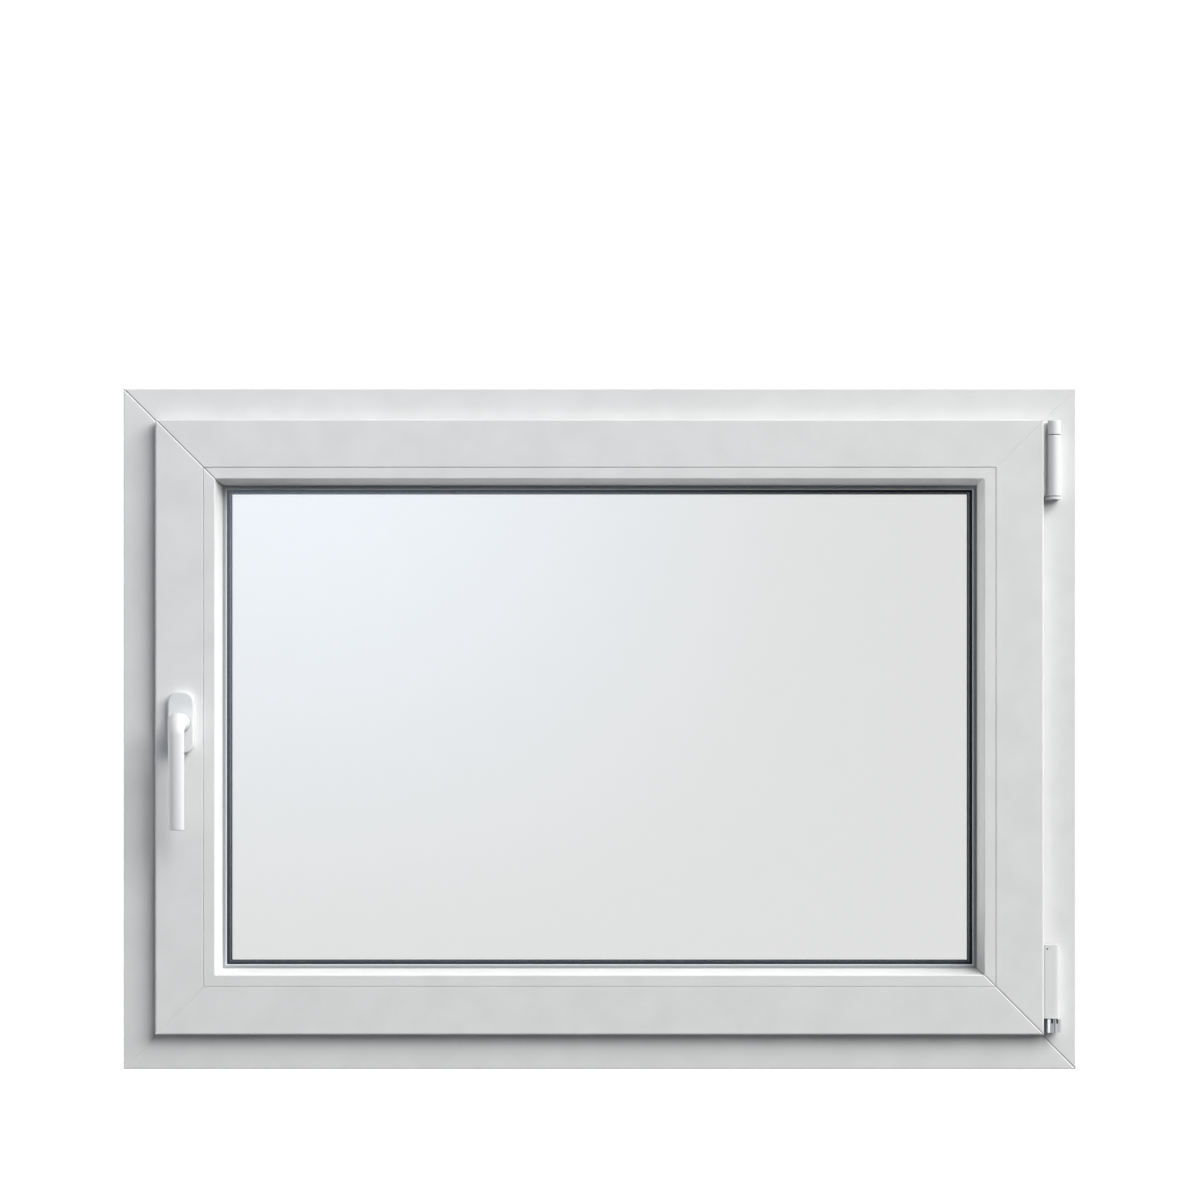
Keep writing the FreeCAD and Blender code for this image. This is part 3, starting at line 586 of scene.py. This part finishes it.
def makeMouldedCover(name, look):
    # moulded white nylon: a smooth skin with a faint grain, and a screw hole painted dark, a
    # painted shade for its depth
    material, tree, place = startMaterial(name)
    across, up = look["hole"]
    flat = addNode(
        tree, "ShaderNodeMapping", {"Location": (-across, 0.0, -up), "Scale": (1.0, 0.0, 1.0)},
        {"Vector": place},
    )
    reach = addNode(tree, "ShaderNodeVectorMath", {"operation": "LENGTH"}, {0: flat.outputs[0]})
    radius = look["holeRadius"]
    skin = addNode(
        tree, "ShaderNodeMapRange", {"From Min": radius * look["holeFloor"], "From Max": radius},
        {"Value": reach.outputs["Value"]},
    )
    # dark inside the hole: painted shade
    tint = addNode(
        tree, "ShaderNodeMix",
        {"data_type": "RGBA", 6: hexToLinear(look["paintedRecessShade"]), 7: hexToLinear(look["colour"])},
        {0: skin.outputs[0]},
    )
    grain = addNode(
        tree, "ShaderNodeTexNoise", {"Scale": 1 / look["grain"], "Detail": 2.0}, {"Vector": place}
    )
    bump = addNode(
        tree, "ShaderNodeBump", {"Strength": 1.0, "Distance": look["grainDepth"]},
        {"Height": grain.outputs[0]},
    )
    return finishMaterial(
        material, tree, {"Roughness": look["roughness"]},
        {"Base Color": tint.outputs[2], "Normal": bump.outputs[0]},
    )


castZinc = {
    "colour": "#E8EAEC",
    "dark": "#B4B8BC",
    "roughness": (0.22, 0.40),
    "drawPitch": 0.45 * millimetre,
    "drawLength": 40 * millimetre,
    "drawDepth": 0.03 * millimetre,
}
# the pivot's barrel: lighter, with coarser and darker upright stripes, and its two slots painted
# near black, a painted shade for their depth
pivotZinc = {
    **castZinc,
    "colour": "#F6F7F8",
    "dark": "#A2A6AA",
    "drawPitch": 1.3 * millimetre,
    # painted shade in the slots
    "slotShadeColour": "#17191B",
    "slotMiddle": 0.4992,  # the x between the two slots
    "slotReach": 2.8 * millimetre,  # from there to either slot
    "slotHalfWidth": 0.95 * millimetre,
    "slotBottom": 0.0516,  # the z from which they are open upwards
}
greasedSteel = {**castZinc, "colour": "#6A6D71", "dark": "#4E5155", "roughness": (0.40, 0.55)}


def makeCastMetal(name, look):
    # bare die-cast zinc or greased steel: a grey metal, bright or dull, with fine upright lines
    # from the tool's draw
    material, tree, place = startMaterial(name)
    pitch, length = look["drawPitch"], look["drawLength"]
    lined = addNode(
        tree, "ShaderNodeMapping", {"Scale": (1 / pitch, 1 / pitch, 1 / length)}, {"Vector": place}
    )
    lines = addNode(
        tree, "ShaderNodeTexNoise", {"Scale": 1.0, "Detail": 3.0}, {"Vector": lined.outputs[0]}
    )
    tint = addNode(
        tree, "ShaderNodeMix",
        {"data_type": "RGBA", 6: hexToLinear(look["dark"]), 7: hexToLinear(look["colour"])},
        {0: lines.outputs[0]},
    )
    # the pivot's two slots are painted near black: painted shade for their depth
    if "slotShadeColour" in look:
        # how far a point lies from the middle line of the nearer slot
        centred = addNode(
            tree, "ShaderNodeMapping", {"Location": (-look["slotMiddle"], 0.0, 0.0)},
            {"Vector": place},
        )
        parts = addNode(tree, "ShaderNodeSeparateXYZ", None, {0: centred.outputs[0]})
        away = addNode(tree, "ShaderNodeMath", {"operation": "ABSOLUTE"}, {0: parts.outputs["X"]})
        off = addNode(
            tree, "ShaderNodeMath", {"operation": "SUBTRACT", 1: look["slotReach"]},
            {0: away.outputs[0]},
        )
        near = addNode(tree, "ShaderNodeMath", {"operation": "ABSOLUTE"}, {0: off.outputs[0]})
        across = addNode(
            tree, "ShaderNodeMath", {"operation": "LESS_THAN", 1: look["slotHalfWidth"]},
            {0: near.outputs[0]},
        )
        above = addNode(
            tree, "ShaderNodeMath", {"operation": "GREATER_THAN", 1: look["slotBottom"]},
            {0: parts.outputs["Z"]},
        )
        paintedRecessShade = addNode(
            tree, "ShaderNodeMath", {"operation": "MULTIPLY"},
            {0: across.outputs[0], 1: above.outputs[0]},
        )
        tint = addNode(
            tree, "ShaderNodeMix", {"data_type": "RGBA", 7: hexToLinear(look["slotShadeColour"])},
            {0: paintedRecessShade.outputs[0], 6: tint.outputs[2]},
        )
    smooth, rough = look["roughness"]
    gloss = addNode(
        tree, "ShaderNodeMapRange", {"To Min": smooth, "To Max": rough}, {"Value": lines.outputs[0]}
    )
    bump = addNode(
        tree, "ShaderNodeBump", {"Strength": 1.0, "Distance": look["drawDepth"]},
        {"Height": lines.outputs[0]},
    )
    return finishMaterial(
        material, tree, {"Metallic": 1.0},
        {"Base Color": tint.outputs[2], "Roughness": gloss.outputs[0], "Normal": bump.outputs[0]},
    )


frameAcross = makeExtrudedPvc("frame_pvc_along_x", "x", frameCorners, extrudedPvc)
frameUpright = makeExtrudedPvc("frame_pvc_along_z", "z", frameCorners, extrudedPvc)
sashAcross = makeExtrudedPvc("sash_pvc_along_x", "x", sashCorners, extrudedPvc)
sashUpright = makeExtrudedPvc("sash_pvc_along_z", "z", sashCorners, extrudedPvc)
greyRubber = makeSealRubber("coextruded_grey_seal", greySeal)
highlightLippedRubber = makeSealRubber("glazing_seal_with_painted_highlight_lip", glazingSeal)
blackRubber = makeSealRubber("black_rubber_seal", blackSeal)
spacerSkin = makeSealRubber("rolled_black_spacer", spacerBar)
coatedGlass = makeFloatGlass("coated_float_glass", floatGlass)
whitePowder = makePowderCoat("white_powder_coat", powderCoat)
whiteNylon = makeMouldedCover("moulded_white_nylon", mouldedCover)
bareZinc = makeCastMetal("bare_cast_zinc", castZinc)
slottedZinc = makeCastMetal("cast_zinc_pivot", pivotZinc)
pinSteel = makeCastMetal("greased_steel_pin", greasedSteel)
finishes = {
    frameAcross: ["frame_sill", "frame_head"],
    frameUpright: ["frame_left_jamb", "frame_right_jamb"],
    sashAcross: ["sash_bottom_rail", "sash_top_rail", "bead_bottom", "bead_top"],
    sashUpright: ["sash_lock_stile", "sash_hinge_stile", "bead_left", "bead_right"],
    greyRubber: ["frame_seal", "sash_seal"],
    highlightLippedRubber: ["glazing_gasket_inner"],
    blackRubber: ["glazing_gasket_outer"],
    spacerSkin: ["spacer_bar"],
    coatedGlass: ["inner_pane", "outer_pane"],
    whitePowder: ["handle_rosette", "handle_lever", "stay_bearing"],
    whiteNylon: ["stay_bearing_cover", "stay_arm_cover", "corner_hinge_cover"],
    bareZinc: ["corner_hinge"],
    slottedZinc: ["pivot_rest"],
    pinSteel: ["handle_spindle", "stay_hinge_pin", "pivot_pin"],
}
for material, names in finishes.items():
    for name in names:
        giveFinish(nodes[name].data, material)
print("materials set")


# the corner hinge's cover and bar, level with the sash's face as in the photograph
flushCover = {
    "nodes": ["corner_hinge_cover", "corner_hinge"],
    "level": -48.7 * millimetre,  # the y from which the shape is pressed flat, towards the room
    "share": 0.25,  # of the depth beyond the level that is left
    "weldReach": 0.001 * millimetre,
    "leastMove": 0.01 * millimetre,  # below this a point counts as not pressed
}


def makeFlushPiece(node, s):
    # the node's own points, with y moved to level + (y - level) * share wherever it is beyond the
    # level, and there the normals' y divided by the same share; the copy keeps its material
    mesh = nodes[node].data.copy()
    mesh.name = f"flush_{node}"
    normals = np.empty(len(mesh.loops) * 3, np.float32)
    mesh.corner_normals.foreach_get("vector", normals)
    normals = normals.reshape(-1, 3)
    welded = bmesh.new()
    welded.from_mesh(mesh)
    bmesh.ops.remove_doubles(welded, verts=welded.verts, dist=s["weldReach"])
    welded.to_mesh(mesh)
    welded.free()
    points = np.empty(len(mesh.vertices) * 3, np.float32)
    mesh.vertices.foreach_get("co", points)
    points = points.reshape(-1, 3)
    proud = np.minimum(points[:, 1] - s["level"], 0)
    points[:, 1] += proud * (s["share"] - 1)
    mesh.vertices.foreach_set("co", points.ravel())
    corners = np.empty(len(mesh.loops), np.int32)
    mesh.loops.foreach_get("vertex_index", corners)
    pressed = proud[corners] < -s["leastMove"]
    normals[pressed, 1] /= s["share"]
    normals /= np.linalg.norm(normals, axis=1, keepdims=True)
    mesh.update()
    mesh.normals_split_custom_set(normals.tolist())
    piece = addObject(f"flush_{node}", mesh)
    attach(piece, "window")
    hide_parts(node)


for node in flushCover["nodes"]:
    makeFlushPiece(node, flushCover)
print("hinge cover set flush")
